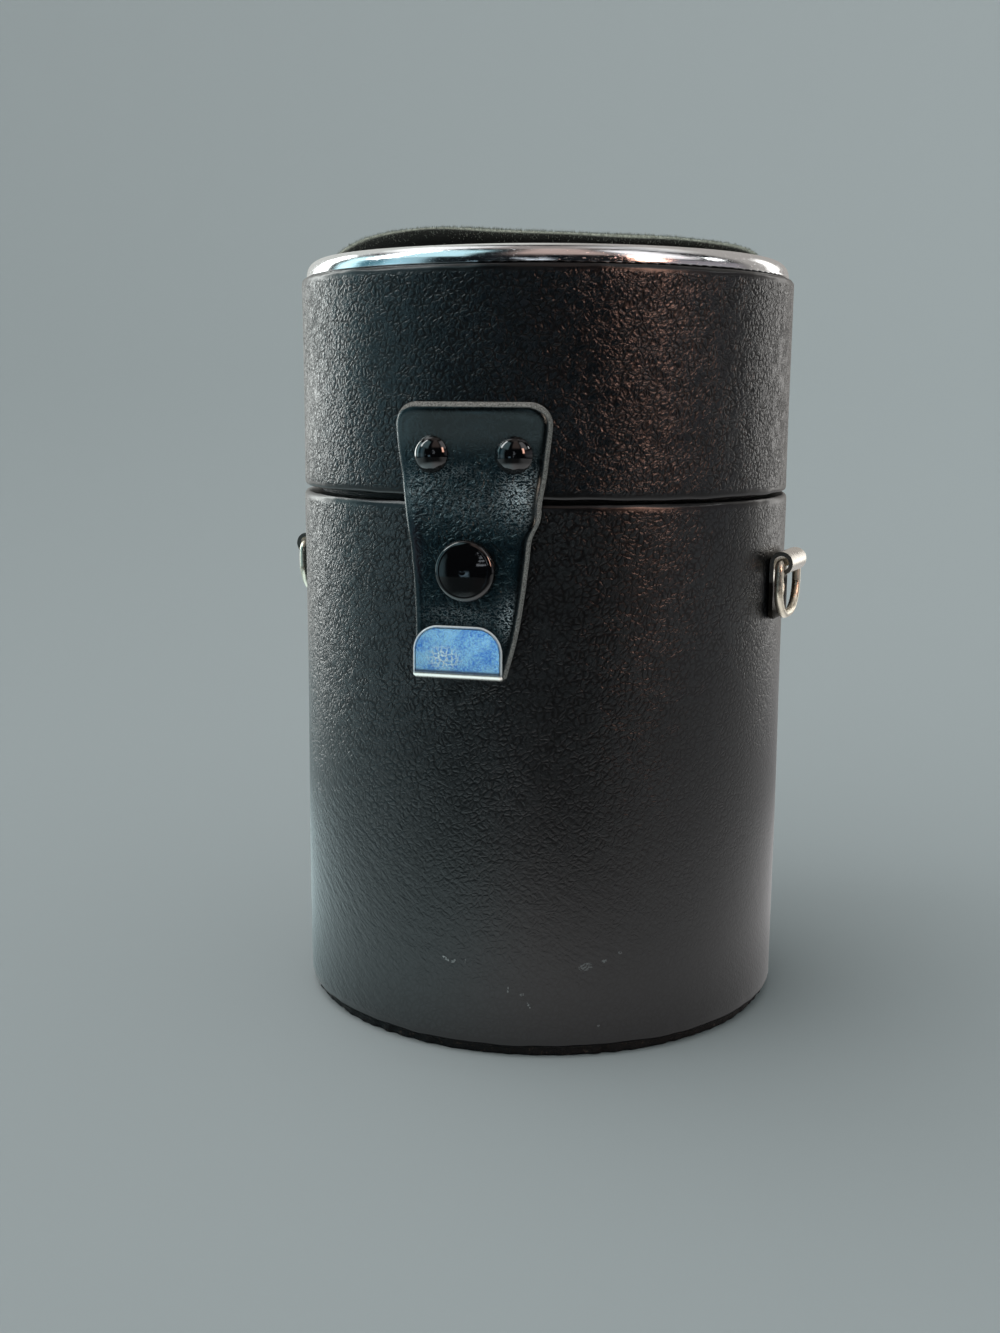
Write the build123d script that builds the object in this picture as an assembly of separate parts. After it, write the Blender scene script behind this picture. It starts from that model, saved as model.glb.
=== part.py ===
from build123d import *
import math
import os

# Camera lens case: a leather-covered fibre tube with a hinged lid, a snap latch and two strap rings.
# Millimetres. It stands on z = 0, the latch tab faces -Y and the hinge strap is at +Y.
# An azimuth is in degrees, 0 at the front and rising towards +X.

# Overall form
case_radius = 56.0
base_disc_height = 2.5
seam_z = 118.2
ring_line_z = 164.7
crown_z = 175.0

# Walls, from the outside in
cover_thickness = 1.0
turned_edge = 0.9
edge_round = 1.1
body_wall = 3.1
lid_wall = 2.0
sleeve_wall = 1.25
body_lining_thickness = 0.65
lid_lining_thickness = 0.5
glue_gap = 0.05
seam_groove = 1.2
neck_rise = 8.0

# Base and pads
base_disc_inset = 1.4
base_board_thickness = 3.0
base_pad_height = 8.8
base_pad_crown = 2.4
lid_pad_height = 6.5
lid_pad_crown = 2.0
pad_side_tuck = 0.8
pad_gap = 0.4

# Trim ring and top of the lid
ring_inset = 1.2
ring_height = 4.0
ring_wall = 0.9
ring_lip = 4.6
ring_lip_thickness = 0.9
ring_round = 3.4
ring_lip_edge = 0.4
top_board_thickness = 2.0
top_board_room = 0.5
top_pad_side = 4.0

# Rivets
rivet_head_radius = 3.5
rivet_head_height = 1.9
rivet_rim = 0.35
rivet_shank_radius = 1.25
rivet_hole_radius = 1.3
washer_radius = 3.6
washer_thickness = 0.7
washer_recess = 0.8

# Latch tab
tab_thickness = 2.4
tab_top_z = 137.5
tab_corner = 5.0
tab_top_half_width = 16.6
tab_tip_half_width = 9.7
tab_tip_z = 82.9
tab_rivet_z = 127.4
tab_rivet_azimuth = 8.5
tab_rivet_head_radius = 3.75
tab_rivet_head_height = 2.5
tab_hinge_z = 119.8
tab_hinge_gap = 0.6
tab_lift = 3.2
tab_lift_top_z = 124.2
tab_lift_low_z = 110.9
tab_lean = 1.9
tab_lean_start_z = 98.0

# Snap fastener
snap_z = 104.6
snap_cap_radius = 6.25
snap_cap_height = 2.9
snap_cap_rim = 0.9
snap_cap_shoulder = 1.25
snap_cap_crown = 0.75
snap_post_radius = 1.2
socket_radius = 5.6
socket_clearance = 0.3
socket_lip = 0.2
socket_roof = 0.6
socket_mouth_radius = 2.3
socket_cavity_radius = 3.2
stud_flange_radius = 4.2
stud_flange_thickness = 0.6
stud_neck_radius = 1.5
stud_head_radius = 2.0
stud_head_low = 1.85
stud_head_high = 2.3
stud_head_bevel = 0.25
stud_hole_radius = 1.1
eyelet_wall = 0.4
eyelet_clearance = 0.02
press_metal_round = 0.5
spring_wire_radius = 0.3
spring_turn_radius = 2.15
spring_lift = 1.45
spring_gap_angle = 40.0

# Metal clip on the end of the tab
clip_sheet = 0.4
clip_fold_round = 1.0
clip_width = 19.4
clip_low_z = 82.4
clip_top_z = 92.7
clip_shoulder = 5.2
clip_shift = -2.1

# Strap lugs and rings
lug_left_azimuth = 92.0
lug_right_azimuth = 82.3
lug_width = 13.0
lug_sheet = 0.9
lug_low_z = 90.8
lug_corner = 2.0
lug_roll_z = 103.3
lug_roll_radius = 2.55
lug_roll_end_angle = -70.0
lug_rivet_z = 97.0
lug_rivet_head_radius = 2.5
lug_rivet_head_height = 0.8
ring_wire_radius = 0.95
ring_half_width = 8.2
ring_drop = 11.6
ring_top_bend = 1.7
ring_low_bend = 6.8
ring_joint_gap = 0.3

# Hinge strap
strap_thickness = 2.0
strap_half_width = 15.0
strap_low_z = 97.0
strap_top_z = 139.4
strap_corner = 4.0
strap_gap = 0.6
strap_rivet_azimuth = 8.7
strap_rivet_rise = 13.8

# Values worked out from the driving dimensions
shell_radius = case_radius - cover_thickness
sleeve_radius = shell_radius - body_wall
lining_radius = sleeve_radius - sleeve_wall
body_bore = lining_radius - body_lining_thickness
lid_bore = shell_radius - lid_wall
lid_inner = lid_bore - lid_lining_thickness
floor_z = base_disc_height
body_rim_z = seam_z - seam_groove / 2
lid_rim_z = seam_z + seam_groove / 2
neck_top_z = seam_z + neck_rise
board_top_z = floor_z + base_board_thickness
top_board_z = ring_line_z + glue_gap
top_board_radius = case_radius - ring_inset - ring_wall - top_board_room
tab_inner = case_radius + glue_gap
tab_outer = tab_inner + tab_thickness
strap_inner = case_radius + glue_gap
strap_outer = strap_inner + strap_thickness
flap_inner = case_radius + tab_lift
flap_outer = flap_inner + tab_thickness
clear_of_all = 2 * case_radius
nearly_flat = 0.02


def facing(azimuth, distance, height):
    """Plane square to the outward direction at an azimuth, with its local Y upwards."""
    turn = math.radians(azimuth)
    outward = Vector(math.sin(turn), -math.cos(turn), 0)
    along = Vector(math.cos(turn), math.sin(turn), 0)
    return Plane(origin=outward * distance + Vector(0, 0, height), x_dir=along, z_dir=outward)


def outline(*curves):
    """Face inside a closed run of curves."""
    return make_face([edge for curve in curves for edge in curve.edges()])


def spin(face):
    """Solid of revolution about Z, from a face drawn as (radius, height)."""
    return revolve(Plane.XZ * face, Axis.Z)


def polygon(*points):
    """Flat face with straight sides."""
    return outline(Polyline(*points, close=True))


def rounded(face, radius, *corners):
    """The face with the corners nearest the given points rounded."""
    for corner in corners:
        nearest = face.vertices().sort_by_distance(Vector(*corner))[0]
        face = fillet(nearest, radius)
    return face


def tube(outer, inner, low, high):
    return Pos(0, 0, low) * extrude(Circle(outer) - Circle(inner), high - low)


def disc(radius, low, high):
    return Pos(0, 0, low) * extrude(Circle(radius), high - low)


def rod(azimuth, height, start, end, radius):
    """Round bar along the outward direction, from one distance off the axis to another."""
    return facing(azimuth, start, height) * extrude(Circle(radius), end - start)


def crown_arc(radius, low, high):
    """Arc from the edge of a crown up to its top on the axis, in (radius, height)."""
    rise = high - low
    sphere = (radius ** 2 + rise ** 2) / (2 * rise)
    half_angle = math.asin(radius / sphere) / 2
    middle = (sphere * math.sin(half_angle), high - sphere + sphere * math.cos(half_angle))
    return ThreePointArc((radius, low), middle, (0, high))


def domed_head(radius, height, rim):
    """Round head with a short straight rim under a spherical crown, standing on z = 0."""
    base = Line((0, 0), (radius, 0))
    side = Line((radius, 0), (radius, rim))
    axis = Line((0, height), (0, 0))
    return spin(outline(base, side, crown_arc(radius, rim, height), axis))


def button_cap(radius, height, rim, shoulder, crown):
    """Round cap with a straight rim, a rounded shoulder and a nearly flat crown, standing on z = 0."""
    edge = (radius - shoulder, height - crown)
    share = math.sin(math.radians(45))
    round_middle = (edge[0] + shoulder * share, rim + (edge[1] - rim) * share)
    base = Line((0, 0), (radius, 0))
    side = Line((radius, 0), (radius, rim))
    turn = ThreePointArc((radius, rim), round_middle, edge)
    axis = Line((0, height), (0, 0))
    return spin(outline(base, side, turn, crown_arc(edge[0], edge[1], height), axis))


def crowned_pad(radius, height, crown):
    """Soft round pad with a crowned top and a side drawn in above and below its middle."""
    side_height = height - crown
    foot = (radius - pad_side_tuck, 0)
    shoulder = (radius - pad_side_tuck, side_height)
    base = Line((0, 0), foot)
    side = ThreePointArc(foot, (radius, side_height / 2), shoulder)
    axis = Line((0, height), (0, 0))
    return spin(outline(base, side, crown_arc(shoulder[0], side_height, height), axis))


def blend_in(value):
    """Smooth step from 0 to 1."""
    value = min(max(value, 0.0), 1.0)
    return value * value * (3 - 2 * value)


def washer_ring(radius, thickness):
    return extrude(Circle(radius) - Circle(rivet_hole_radius), thickness)


def cut_rods(solid, places, start, end, radius):
    """The solid with a hole along the outward direction at each (azimuth, height)."""
    for azimuth, height in places:
        solid = solid - rod(azimuth, height, start, end, radius)
    return solid


def on_places(shape, places, distance):
    """One copy of a shape at each (azimuth, height), facing outwards at a distance."""
    return Compound(children=[facing(azimuth, distance, height) * shape for azimuth, height in places])


tab_rivet_places = [(-tab_rivet_azimuth, tab_rivet_z), (tab_rivet_azimuth, tab_rivet_z)]
strap_low_rivet_z = seam_z - strap_rivet_rise
strap_high_rivet_z = seam_z + strap_rivet_rise
strap_sides = [180 - strap_rivet_azimuth, 180 + strap_rivet_azimuth]
strap_low_places = [(side, strap_low_rivet_z) for side in strap_sides]
strap_high_places = [(side, strap_high_rivet_z) for side in strap_sides]
lug_places = [(-lug_left_azimuth, lug_rivet_z), (lug_right_azimuth, lug_rivet_z)]
snap_place = [(0, snap_z)]


# Body


def body_cover():
    """Leatherette skin, turned in over the rim of the tube."""
    face = polygon(
        (case_radius, floor_z),
        (case_radius, body_rim_z),
        (sleeve_radius + glue_gap, body_rim_z),
        (sleeve_radius + glue_gap, body_rim_z - turned_edge),
        (shell_radius, body_rim_z - turned_edge),
        (shell_radius, floor_z),
    )
    face = rounded(face, edge_round, (case_radius, body_rim_z))
    face = rounded(face, edge_round / 2, (case_radius, floor_z))
    skin = spin(face)
    holes = snap_place + lug_places + strap_low_places
    return cut_rods(skin, holes, sleeve_radius, clear_of_all, rivet_hole_radius)


def body_shell():
    """Fibreboard tube, with recesses inside for the backs of the rivets."""
    wall = tube(shell_radius, sleeve_radius, floor_z, body_rim_z - turned_edge)
    holes = snap_place + lug_places + strap_low_places
    wall = cut_rods(wall, holes, sleeve_radius - 1, clear_of_all, rivet_hole_radius)
    recess_top = sleeve_radius + washer_recess
    return cut_rods(wall, holes, sleeve_radius - 1, recess_top, washer_radius + glue_gap)


def base_disc():
    face = polygon(
        (0, 0),
        (case_radius - base_disc_inset, 0),
        (case_radius - base_disc_inset, base_disc_height),
        (0, base_disc_height),
    )
    return spin(rounded(face, edge_round / 2, (case_radius - base_disc_inset, 0)))


def base_board():
    return disc(sleeve_radius - glue_gap, floor_z, board_top_z)


def neck_sleeve():
    """Inner sleeve that stands up above the seam and guides the lid."""
    face = polygon(
        (sleeve_radius - glue_gap, board_top_z),
        (sleeve_radius - glue_gap, neck_top_z),
        (lining_radius, neck_top_z),
        (lining_radius, board_top_z),
    )
    return spin(rounded(face, sleeve_wall * 0.4, (sleeve_radius - glue_gap, neck_top_z)))


def body_lining():
    return tube(lining_radius, body_bore, board_top_z, neck_top_z - turned_edge)


def base_pad():
    return Pos(0, 0, board_top_z) * crowned_pad(body_bore - pad_gap, base_pad_height, base_pad_crown)


def washers(places, bore):
    """Riveted-over washers in the recesses inside a tube."""
    return on_places(washer_ring(washer_radius, washer_thickness), places, bore + glue_gap)


# Snap fastener


def snap_stud():
    """Male half of the snap, standing on the front of the body."""
    bevel = stud_head_bevel
    profile = polygon(
        (stud_hole_radius, 0),
        (stud_flange_radius, 0),
        (stud_flange_radius, stud_flange_thickness),
        (stud_neck_radius, stud_flange_thickness),
        (stud_neck_radius, stud_head_low - bevel),
        (stud_head_radius, stud_head_low),
        (stud_head_radius, stud_head_high - bevel),
        (stud_head_radius - bevel, stud_head_high),
        (stud_hole_radius, stud_head_high),
    )
    return facing(0, case_radius, snap_z) * spin(profile)


def snap_post():
    """Eyelet that clamps the stud from inside the body's wall."""
    start = sleeve_radius + glue_gap
    end = case_radius + stud_head_low
    barrel = rod(0, snap_z, start, end, stud_hole_radius - eyelet_clearance)
    flange = rod(0, snap_z, start, start + washer_thickness, washer_radius)
    return barrel + flange - rod(0, snap_z, start, end, stud_hole_radius - eyelet_wall)


def snap_socket():
    """Female half of the snap, under the tab, with room inside for its ring spring."""
    low = case_radius + stud_flange_thickness + socket_clearance
    high = flap_inner - glue_gap
    body = rod(0, snap_z, low, high, socket_radius)
    body = fillet(body.edges().filter_by(GeomType.CIRCLE).sort_by(Axis.Y)[-1], press_metal_round)
    mouth = rod(0, snap_z, low, high - socket_roof, socket_mouth_radius)
    cavity = rod(0, snap_z, low + socket_lip, high - socket_roof, socket_cavity_radius)
    post_hole = rod(0, snap_z, low, high, snap_post_radius + glue_gap)
    return body - mouth - cavity - post_hole


def snap_spring():
    """Open wire ring inside the socket, under the stud's head."""
    centre = facing(0, case_radius + spring_lift, snap_z)
    start = spring_gap_angle / 2
    path = CenterArc((0, 0), spring_turn_radius, start, 360 - spring_gap_angle)
    section = Plane(origin=path @ 0, z_dir=path % 0) * Circle(spring_wire_radius)
    return centre * sweep(section, path)


def snap_cap():
    """Black domed cap on the face of the tab, with its post through the leather."""
    head = button_cap(
        snap_cap_radius,
        snap_cap_height,
        snap_cap_rim,
        snap_cap_shoulder,
        snap_cap_crown,
    )
    rims = head.edges().filter_by(GeomType.CIRCLE).sort_by(SortBy.LENGTH)[-2:]
    head = fillet(rims, press_metal_round)
    post = rod(0, snap_z, flap_inner - socket_roof, flap_outer, snap_post_radius)
    return facing(0, flap_outer, snap_z) * head + post


# Latch tab


def tab_half_width(height):
    share = (height - tab_tip_z) / (tab_top_z - tab_tip_z)
    return tab_tip_half_width + (tab_top_half_width - tab_tip_half_width) * share


def tab_shift(height):
    """Sideways lean of the tab's middle, which begins below the snap."""
    return -tab_lean * max(tab_lean_start_z - height, 0.0) / (tab_lean_start_z - tab_tip_z)


def tab_release(height):
    """How far the tab has left the lid's curve: 0 where it is riveted, 1 where it is flat."""
    return blend_in((tab_lift_top_z - height) / (tab_lift_top_z - tab_lift_low_z))


def tab_section(height):
    """Level section of the tab, which follows the lid at its rivets and stands off flat at the snap."""
    release = tab_release(height)
    half = tab_half_width(height)
    middle = tab_shift(height)
    bend = tab_inner / max(1 - release, nearly_flat)
    sag = bend - math.sqrt(bend ** 2 - half ** 2)
    back = -(tab_inner + (flap_inner - tab_inner) * release)
    front = back - tab_thickness
    face = outline(
        ThreePointArc((middle - half, back + sag), (middle, back), (middle + half, back + sag)),
        Line((middle + half, back + sag), (middle + half, front + sag)),
        ThreePointArc((middle + half, front + sag), (middle, front), (middle - half, front + sag)),
        Line((middle - half, front + sag), (middle - half, back + sag)),
    )
    return Pos(0, 0, height) * face


def tab_run(high, low, count):
    """Smooth run of the tab through evenly spaced level sections."""
    heights = [high + (low - high) * step / (count - 1) for step in range(count)]
    return loft([tab_section(height) for height in heights])


def latch_flap():
    """Lower part of the leather tab, from the lid's edge past the snap to the clip."""
    upper = tab_run(tab_hinge_z - tab_hinge_gap / 2, tab_lift_low_z, 4)
    middle = tab_run(tab_lift_low_z, tab_lean_start_z, 2)
    lower = tab_run(tab_lean_start_z, tab_tip_z, 2)
    hole = rod(0, snap_z, case_radius, clear_of_all, snap_post_radius + glue_gap)
    return upper + middle + lower - hole


def latch_tab():
    """Upper part of the leather tab, riveted to the lid."""
    low = tab_hinge_z + tab_hinge_gap / 2
    strip = tab_run(tab_lift_top_z, low, 3) + tab_run(tab_top_z, tab_lift_top_z, 2)
    front = polygon(
        (-tab_half_width(low), low),
        (tab_half_width(low), low),
        (tab_half_width(tab_top_z), tab_top_z),
        (-tab_half_width(tab_top_z), tab_top_z),
    )
    top_corners = [(-tab_half_width(tab_top_z), tab_top_z), (tab_half_width(tab_top_z), tab_top_z)]
    front = rounded(front, tab_corner, *top_corners)
    blank = extrude(Plane.XZ * front, clear_of_all)
    return cut_rods(strip & blank, tab_rivet_places, case_radius, clear_of_all, rivet_hole_radius)


def tip_clip():
    """Bright metal clip folded round the end of the tab."""
    inner = flap_inner - glue_gap
    outer = flap_outer + glue_gap
    fold = polygon(
        (-(outer + clip_sheet), clip_low_z),
        (-(inner - clip_sheet), clip_low_z),
        (-(inner - clip_sheet), clip_top_z),
        (-(outer + clip_sheet), clip_top_z),
    )
    low_corners = [(-(outer + clip_sheet), clip_low_z), (-(inner - clip_sheet), clip_low_z)]
    fold = rounded(fold, clip_fold_round, *low_corners)
    slot = polygon(
        (-outer, tab_tip_z - glue_gap),
        (-inner, tab_tip_z - glue_gap),
        (-inner, clip_top_z),
        (-outer, clip_top_z),
    )
    half = clip_width / 2
    channel = extrude(Plane.YZ * (fold - slot), half, both=True)
    front = polygon((-half, 0), (half, 0), (half, clip_top_z), (-half, clip_top_z))
    front = rounded(front, clip_shoulder, (half, clip_top_z), (-half, clip_top_z))
    blank = extrude(Plane.XZ * front, clear_of_all)
    return Pos(clip_shift, 0, 0) * (channel & blank)


# Rivets


def rivets(places, head_level, bore, head_radius=rivet_head_radius, head_height=rivet_head_height):
    """Domed rivets with their heads at one distance off the axis and their ends inside a tube."""
    length = head_level - bore - glue_gap
    head = domed_head(head_radius, head_height, rivet_rim)
    whole = head + Pos(0, 0, -length) * extrude(Circle(rivet_shank_radius), length)
    return on_places(whole, places, head_level)


def lug_rivets():
    head_level = case_radius + glue_gap + lug_sheet
    return rivets(lug_places, head_level, sleeve_radius, lug_rivet_head_radius, lug_rivet_head_height)


# Strap lugs and rings


def lug_profile():
    """Side view of the lug, as (distance off the axis, height): a plate rolled over into an eye."""
    back = case_radius + glue_gap
    centre = (back + lug_roll_radius, lug_roll_z)
    eye = Pos(*centre) * (Circle(lug_roll_radius) - Circle(lug_roll_radius - lug_sheet))
    end = math.radians(lug_roll_end_angle)
    reach = 2 * lug_roll_radius
    mouth = polygon(
        centre,
        (centre[0] + reach * math.cos(end), centre[1] + reach * math.sin(end)),
        (centre[0] - reach, centre[1] - 2 * reach),
        (centre[0] - reach, centre[1]),
    )
    plate = polygon(
        (back, lug_low_z),
        (back + lug_sheet, lug_low_z),
        (back + lug_sheet, lug_roll_z),
        (back, lug_roll_z),
    )
    return eye - mouth + plate


def lug_plate(azimuth):
    """Sheet-metal lug, flat on the side of the body, with its top edge rolled round the ring."""
    side_view = Plane(origin=(0, 0, 0), x_dir=(1, 0, 0), z_dir=(0, -1, 0)) * lug_profile()
    blank = extrude(side_view, lug_width / 2, both=True)
    low_corners = [(-lug_width / 2, lug_low_z), (lug_width / 2, lug_low_z)]
    front = polygon(low_corners[0], low_corners[1], (lug_width / 2, seam_z), (-lug_width / 2, seam_z))
    front = rounded(front, lug_corner, *low_corners)
    blank = blank & extrude(Plane.YZ * front, clear_of_all)
    turned = Rot(0, 0, azimuth - 90) * blank
    return turned - rod(azimuth, lug_rivet_z, shell_radius, clear_of_all, rivet_hole_radius)


def strap_ring(azimuth):
    """D-shaped wire ring, whose two ends meet inside the lug's eye."""
    half = ring_half_width
    start = (ring_joint_gap / 2, 0)
    corners = [(half, 0), (half, -ring_drop), (-half, -ring_drop), (-half, 0)]
    end = (-ring_joint_gap / 2, 0)
    bends = [ring_top_bend, ring_low_bend, ring_low_bend, ring_top_bend]
    path = FilletPolyline(start, *corners, end, radius=bends)
    section = Plane(origin=path @ 0, z_dir=path % 0) * Circle(ring_wire_radius)
    place = facing(azimuth, case_radius + glue_gap + lug_roll_radius, lug_roll_z)
    return place * sweep(section, path)


# Hinge strap


def hinge_strap(low, high, outer_z):
    """Half of the leather strap at the back, with rounded corners at its outer end."""
    strip = tube(strap_outer, strap_inner, low, high)
    half = strap_half_width
    front = polygon((-half, low), (half, low), (half, high), (-half, high))
    front = rounded(front, strap_corner, (-half, outer_z), (half, outer_z))
    return strip & extrude(Plane.XZ * front, -clear_of_all)


def hinge_strap_lower():
    strap = hinge_strap(strap_low_z, seam_z - strap_gap / 2, strap_low_z)
    return cut_rods(strap, strap_low_places, case_radius, clear_of_all, rivet_hole_radius)


def hinge_strap_upper():
    strap = hinge_strap(seam_z + strap_gap / 2, strap_top_z, strap_top_z)
    return cut_rods(strap, strap_high_places, case_radius, clear_of_all, rivet_hole_radius)


# Lid


def lid_cover():
    """Leatherette skin of the lid, turned in over both ends of its tube."""
    inner = lid_bore + glue_gap
    face = polygon(
        (case_radius, lid_rim_z),
        (case_radius, ring_line_z),
        (inner, ring_line_z),
        (inner, ring_line_z - turned_edge),
        (shell_radius, ring_line_z - turned_edge),
        (shell_radius, lid_rim_z + turned_edge),
        (inner, lid_rim_z + turned_edge),
        (inner, lid_rim_z),
    )
    face = rounded(face, edge_round, (case_radius, lid_rim_z), (case_radius, ring_line_z))
    holes = tab_rivet_places + strap_high_places
    return cut_rods(spin(face), holes, lid_bore - 1, clear_of_all, rivet_hole_radius)


def lid_shell():
    """Fibreboard tube of the lid, with recesses inside for the backs of the rivets."""
    wall = tube(shell_radius, lid_bore, lid_rim_z + turned_edge, ring_line_z - turned_edge)
    holes = tab_rivet_places + strap_high_places
    wall = cut_rods(wall, holes, lid_bore - 1, clear_of_all, rivet_hole_radius)
    return cut_rods(wall, holes, lid_bore - 1, lid_bore + washer_recess, washer_radius + glue_gap)


def lid_lining():
    return tube(lid_bore, lid_inner, lid_rim_z + turned_edge, ring_line_z - glue_gap)


def lid_top_board():
    return disc(top_board_radius, top_board_z, top_board_z + top_board_thickness)


def lid_pad():
    pad = crowned_pad(lid_inner - pad_gap, lid_pad_height, lid_pad_crown)
    return Pos(0, 0, top_board_z - glue_gap) * Rot(180, 0, 0) * pad


def trim_ring():
    """Bright ring round the top of the lid, a quarter-round bead that ends in a lip over the pad."""
    outer = case_radius - ring_inset
    low = ring_line_z + glue_gap
    high = low + ring_height
    lip_end = outer - ring_lip
    face = polygon(
        (outer, low),
        (outer, high),
        (lip_end, high),
        (lip_end, high - ring_lip_thickness),
        (outer - ring_wall, high - ring_lip_thickness),
        (outer - ring_wall, low),
    )
    face = rounded(face, ring_round, (outer, high))
    face = rounded(face, ring_round - ring_wall, (outer - ring_wall, high - ring_lip_thickness))
    face = rounded(face, ring_lip_edge, (lip_end, high), (outer, low))
    return spin(face)


def top_pad():
    """Crowned cushion on top of the lid, inside the trim ring."""
    low = top_board_z + top_board_thickness
    radius = case_radius - ring_inset - ring_lip - glue_gap
    height = crown_z - low
    return Pos(0, 0, low) * crowned_pad(radius, height, height - top_pad_side)


parts = {
    "base_disc": base_disc(),
    "base_board": base_board(),
    "body_shell": body_shell(),
    "body_cover": body_cover(),
    "neck_sleeve": neck_sleeve(),
    "body_lining": body_lining(),
    "base_pad": base_pad(),
    "snap_stud": snap_stud(),
    "snap_post": snap_post(),
    "lug_plate_left": lug_plate(-lug_left_azimuth),
    "lug_plate_right": lug_plate(lug_right_azimuth),
    "lug_rivets": lug_rivets(),
    "lug_washers": washers(lug_places, sleeve_radius),
    "hinge_strap_lower": hinge_strap_lower(),
    "hinge_rivets_lower": rivets(strap_low_places, strap_outer, sleeve_radius),
    "hinge_washers_lower": washers(strap_low_places, sleeve_radius),
    "lid_shell": lid_shell(),
    "lid_cover": lid_cover(),
    "lid_lining": lid_lining(),
    "lid_top_board": lid_top_board(),
    "lid_pad": lid_pad(),
    "trim_ring": trim_ring(),
    "top_pad": top_pad(),
    "hinge_strap_upper": hinge_strap_upper(),
    "hinge_rivets_upper": rivets(strap_high_places, strap_outer, lid_bore),
    "hinge_washers_upper": washers(strap_high_places, lid_bore),
    "latch_tab": latch_tab(),
    "tab_rivets": rivets(tab_rivet_places, tab_outer, lid_bore, tab_rivet_head_radius, tab_rivet_head_height),
    "tab_washers": washers(tab_rivet_places, lid_bore),
    "latch_flap": latch_flap(),
    "snap_cap": snap_cap(),
    "snap_socket": snap_socket(),
    "snap_spring": snap_spring(),
    "tip_clip": tip_clip(),
    "strap_ring_left": strap_ring(-lug_left_azimuth),
    "strap_ring_right": strap_ring(lug_right_azimuth),
}

os.makedirs("parts", exist_ok=True)
for name, shape in parts.items():
    export_step(shape, f"parts/{name}.step")
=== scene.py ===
"""Looks of the camera lens case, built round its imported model.

Lengths are in millimetres and become metres where a mesh is made. The case stands on z = 0 with its latch tab
at -Y and its hinge strap at +Y. An azimuth is in degrees, 0 at the front and rising towards +X.
"""
import math

import bmesh
import bpy
import numpy as np
from mathutils import Matrix, Vector


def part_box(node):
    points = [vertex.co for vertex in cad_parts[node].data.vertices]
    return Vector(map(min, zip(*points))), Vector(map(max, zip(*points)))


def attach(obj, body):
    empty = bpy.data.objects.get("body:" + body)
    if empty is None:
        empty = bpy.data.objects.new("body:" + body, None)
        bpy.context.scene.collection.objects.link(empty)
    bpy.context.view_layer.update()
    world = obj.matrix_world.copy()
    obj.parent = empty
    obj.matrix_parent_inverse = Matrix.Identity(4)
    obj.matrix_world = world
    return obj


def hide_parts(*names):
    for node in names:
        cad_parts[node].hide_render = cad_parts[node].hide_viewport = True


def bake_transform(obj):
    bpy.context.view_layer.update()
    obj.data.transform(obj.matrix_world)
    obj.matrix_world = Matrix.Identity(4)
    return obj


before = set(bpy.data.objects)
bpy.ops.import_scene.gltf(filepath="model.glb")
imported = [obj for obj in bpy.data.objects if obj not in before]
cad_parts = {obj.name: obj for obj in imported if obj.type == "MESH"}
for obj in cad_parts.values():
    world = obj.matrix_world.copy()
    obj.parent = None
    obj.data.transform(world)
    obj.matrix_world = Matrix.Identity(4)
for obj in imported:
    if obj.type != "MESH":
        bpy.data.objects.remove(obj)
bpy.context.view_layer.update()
scene = bpy.context.scene
MM = 0.001


def span(node):
    """Lowest and highest corner of a node, in millimetres."""
    low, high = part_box(node)
    return low / MM, high / MM


# Sizes read from the frame
body_low, body_high = span("body_cover")
lid_low, lid_high = span("lid_cover")
sleeve_high = span("neck_sleeve")[1]
ring_high = span("trim_ring")[1]
case_radius = body_high.x
floor_z = body_low.z
body_rim_z = body_high.z
lid_rim_z = lid_low.z
ring_line_z = lid_high.z
sleeve_radius = sleeve_high.x + 0.05
seam_z = (body_rim_z + lid_rim_z) / 2

# Sizes of the leather work
cover_thickness = 1.0
turned_edge = 0.9
edge_round = 1.1
round_start = case_radius - edge_round
lid_bore = case_radius - 3.0
shell_radius = case_radius - cover_thickness
glue_gap = 0.05
tab_inner = case_radius + glue_gap
tab_thickness = 2.4
tab_lift = 3.2
tab_lift_top_z = 124.2
tab_lift_low_z = 110.9
tab_lean = 1.9
tab_lean_start_z = 98.0
flap_inner = case_radius + tab_lift
lower_turn = 0.76
eye_low_z = 99.6
clip_rub_x, clip_rub_run = -4.6, 6.6


# Meshes


def smooth_step(value, low=0.0, high=1.0):
    share = np.clip((np.asarray(value, float) - low) / (high - low), 0, 1)
    return share * share * (3 - 2 * share)


def curve_through(points, at):
    """Smooth curve through a few points, read at one or more places."""
    knots, values = np.array(points, float).T
    slopes = np.gradient(values, knots)
    at = np.clip(np.asarray(at, float), knots[0], knots[-1])
    index = np.clip(np.searchsorted(knots, at, side="right") - 1, 0, len(knots) - 2)
    width = knots[index + 1] - knots[index]
    t = (at - knots[index]) / width
    start = values[index] * (1 + 2 * t) * (1 - t) ** 2 + slopes[index] * width * t * (1 - t) ** 2
    end = values[index + 1] * t * t * (3 - 2 * t) + slopes[index + 1] * width * t * t * (t - 1)
    return start + end


def bell(value, middle, width):
    """Bump of 1 at the middle that fades to both sides."""
    return np.exp(-((value - middle) / width) ** 2)


def ripple(azimuth, height, counts, seed):
    """Gentle unevenness between about -1 and 1 that joins up round the axis."""
    rng = np.random.default_rng(seed)
    total = 0
    for count in counts:
        climb = rng.uniform(-0.09, 0.09)
        total = total + np.sin(np.radians(azimuth) * count + height * climb + rng.uniform(0, 2 * math.pi))
    return total / math.sqrt(len(counts))


def arc(centre, radius, start, end, steps):
    """Points along an arc in a flat drawing, angles in degrees."""
    turn = np.radians(np.linspace(start, end, steps))
    return [(centre[0] + radius * math.cos(a), centre[1] + radius * math.sin(a)) for a in turn]


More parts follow.
